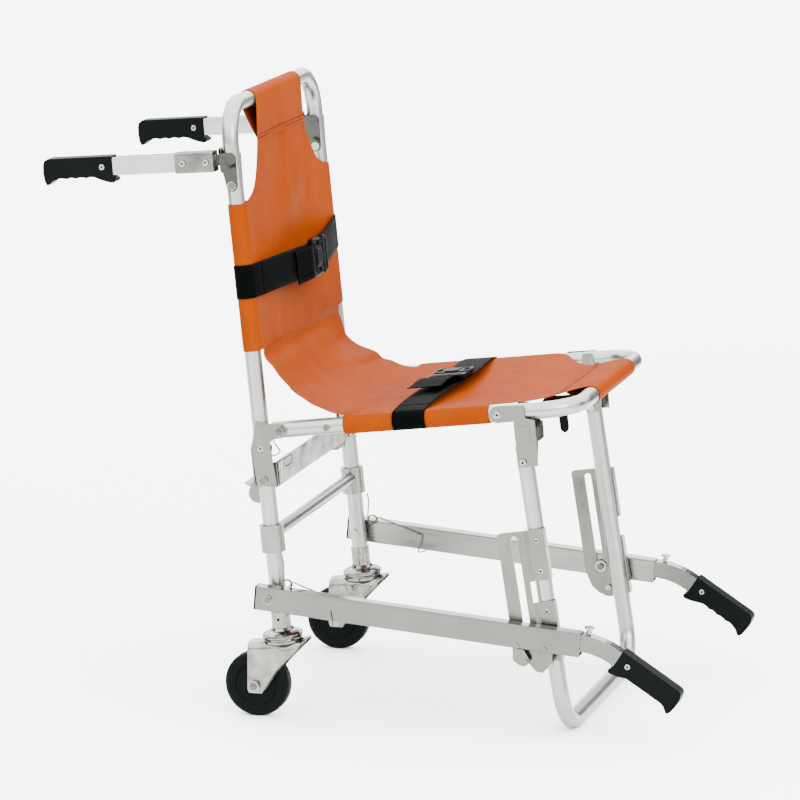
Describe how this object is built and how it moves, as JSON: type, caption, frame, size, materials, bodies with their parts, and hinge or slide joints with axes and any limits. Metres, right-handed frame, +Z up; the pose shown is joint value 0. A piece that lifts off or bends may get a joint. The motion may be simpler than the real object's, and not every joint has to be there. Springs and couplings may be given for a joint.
{
  "type": "stair chair",
  "caption": "Folding evacuation chair with tubular frame, sling seat, rear and front carrying handles, side rails and swivel casters.",
  "frame": {"origin": "middle of the footprint on the floor, under the middle of the overall box", "axes": "+Z up; -Y is the way the seated person faces; +X is the seated person's left"},
  "size_m": [0.5368, 0.9878, 0.9325],
  "materials": {
    "tube_aluminium": "polished drawn tube",
    "rail_aluminium": "satin extrusion",
    "bracket_steel": "satin pressed sheet",
    "fastener_steel": "bright plated",
    "spring_steel": "plated wire",
    "caster_zinc": "bright zinc plated pressings",
    "wheel_rubber": "moulded, slightly dusty",
    "grip_plastic": "moulded, fine texture",
    "black_plastic": "moulded",
    "buckle_plastic": "moulded",
    "sling_vinyl": "coated woven fabric, low sheen",
    "strap_webbing": "woven webbing",
    "tongue_rubber": "matt"
  },
  "bodies": {
    "back_frame": {"back_tube": "tube_aluminium", "cross_tube": "tube_aluminium", "tube_collars": "bracket_steel", "caster_sockets": "caster_zinc", "right_seat_bracket": "bracket_steel", "left_seat_bracket": "bracket_steel", "seat_hinge_bolts": "fastener_steel", "right_handle_bracket": "bracket_steel", "left_handle_bracket": "bracket_steel", "handle_hinge_pins": "fastener_steel", "rail_pivot_bolts": "fastener_steel", "right_torsion_spring": "spring_steel", "left_torsion_spring": "spring_steel", "bracket_rivets": "fastener_steel", "lock_pivot_bolts": "fastener_steel", "sling_back": "sling_vinyl", "back_strap": "strap_webbing", "back_buckle": "buckle_plastic"},
    "seat_frame": {"seat_tube": "tube_aluminium", "right_leg_hinge": "bracket_steel", "left_leg_hinge": "bracket_steel", "leg_hinge_bolts": "fastener_steel", "seat_rivets": "fastener_steel", "seat_bumpers": "black_plastic", "sling_seat": "sling_vinyl", "seat_strap": "strap_webbing", "seat_buckle": "buckle_plastic", "pull_tongue": "tongue_rubber"},
    "leg_frame": {"leg_tube": "tube_aluminium", "right_slot_plate": "bracket_steel", "left_slot_plate": "bracket_steel", "slot_bolts": "fastener_steel"},
    "lock_lever": {"lock_bar": "bracket_steel"},
    "right_rail_body": {"right_rail": "rail_aluminium", "right_rail_cap": "black_plastic", "right_latch_plate": "bracket_steel"},
    "right_front_handle": {"right_front_bar": "rail_aluminium", "right_front_grip": "grip_plastic"},
    "right_knob_body": {"right_knob": "fastener_steel"},
    "right_rear_handle": {"right_handle_sleeve": "bracket_steel", "right_handle_bar": "rail_aluminium", "right_handle_grip": "grip_plastic"},
    "right_caster": {"right_fork": "caster_zinc", "right_axle": "fastener_steel"},
    "right_wheel_body": {"right_wheel": "wheel_rubber"},
    "left_rail_body": {"left_rail": "rail_aluminium", "left_rail_cap": "black_plastic", "left_latch_plate": "bracket_steel"},
    "left_front_handle": {"left_front_bar": "rail_aluminium", "left_front_grip": "grip_plastic"},
    "left_knob_body": {"left_knob": "fastener_steel"},
    "left_rear_handle": {"left_handle_sleeve": "bracket_steel", "left_handle_bar": "rail_aluminium", "left_handle_grip": "grip_plastic"},
    "left_caster": {"left_fork": "caster_zinc", "left_axle": "fastener_steel"},
    "left_wheel_body": {"left_wheel": "wheel_rubber"}
  },
  "joints": [
    {"name": "seat_fold", "type": "hinge", "parent": "back_frame", "child": "seat_frame", "pos_m": [0, 0.129, 0.4393], "axis": [-1, 0, 0], "range_deg": [0, 86.4]},
    {"name": "leg_fold", "type": "hinge", "parent": "seat_frame", "child": "leg_frame", "pos_m": [0, -0.2433, 0.412], "axis": [-1, 0, 0], "range_deg": [-89.4, 0]},
    {"name": "right_rail_fold", "type": "hinge", "parent": "back_frame", "child": "right_rail_body", "pos_m": [0, 0.1394, 0.1885], "axis": [-1, 0, 0], "range_deg": [0, 98], "deforming": ["right_torsion_spring"]},
    {"name": "left_rail_fold", "type": "hinge", "parent": "back_frame", "child": "left_rail_body", "pos_m": [0, 0.1394, 0.1885], "axis": [-1, 0, 0], "range_deg": [0, 98], "deforming": ["left_torsion_spring"]},
    {"name": "right_front_slide", "type": "slide", "parent": "right_rail_body", "child": "right_front_handle", "axis": [0, -0.9965, -0.0837], "range_m": [0, 0.18]},
    {"name": "right_knob_pull", "type": "slide", "parent": "right_front_handle", "child": "right_knob_body", "axis": [0, -0.0837, 0.9965], "range_m": [0, 0.004], "stiffness_N_per_m": 300, "springref_m": -0.001},
    {"name": "left_front_slide", "type": "slide", "parent": "left_rail_body", "child": "left_front_handle", "axis": [0, -0.9965, -0.0837], "range_m": [-0.0045, 0.1755]},
    {"name": "left_knob_pull", "type": "slide", "parent": "left_front_handle", "child": "left_knob_body", "axis": [0, -0.0837, 0.9965], "range_m": [0, 0.004], "stiffness_N_per_m": 300, "springref_m": -0.001},
    {"name": "right_handle_fold", "type": "hinge", "parent": "back_frame", "child": "right_rear_handle", "pos_m": [-0.2115, 0.22287, 0.83923], "axis": [0, -0.1037, -0.9946], "range_deg": [0, 90]},
    {"name": "left_handle_fold", "type": "hinge", "parent": "back_frame", "child": "left_rear_handle", "pos_m": [0.2115, 0.22287, 0.83923], "axis": [0, 0.1037, 0.9946], "range_deg": [0, 72]},
    {"name": "lock_press", "type": "hinge", "parent": "back_frame", "child": "lock_lever", "pos_m": [0, 0.15463, 0.363], "axis": [-1, 0, 0], "range_deg": [0, 20], "stiffness_Nm_per_rad": 0.5, "springref_deg": -20.05},
    {"name": "right_swivel", "type": "hinge", "parent": "back_frame", "child": "right_caster", "pos_m": [-0.22, 0.12717, 0.09946], "axis": [0, 0.1037, 0.9946], "continuous": true},
    {"name": "right_wheel_spin", "type": "hinge", "parent": "right_caster", "child": "right_wheel_body", "pos_m": [-0.22, 0.1682, 0.05], "axis": [1, 0, 0], "continuous": true},
    {"name": "left_swivel", "type": "hinge", "parent": "back_frame", "child": "left_caster", "pos_m": [0.22, 0.12717, 0.09946], "axis": [0, 0.1037, 0.9946], "continuous": true},
    {"name": "left_wheel_spin", "type": "hinge", "parent": "left_caster", "child": "left_wheel_body", "pos_m": [0.22, 0.1682, 0.05], "axis": [1, 0, 0], "continuous": true}
  ],
  "couplings": [
    {"joint": "leg_fold", "follows": "seat_fold", "ratio": -1.034},
    {"joint": "right_rail_fold", "follows": "seat_fold", "ratio": 1.133},
    {"joint": "left_rail_fold", "follows": "seat_fold", "ratio": 1.133}
  ]
}
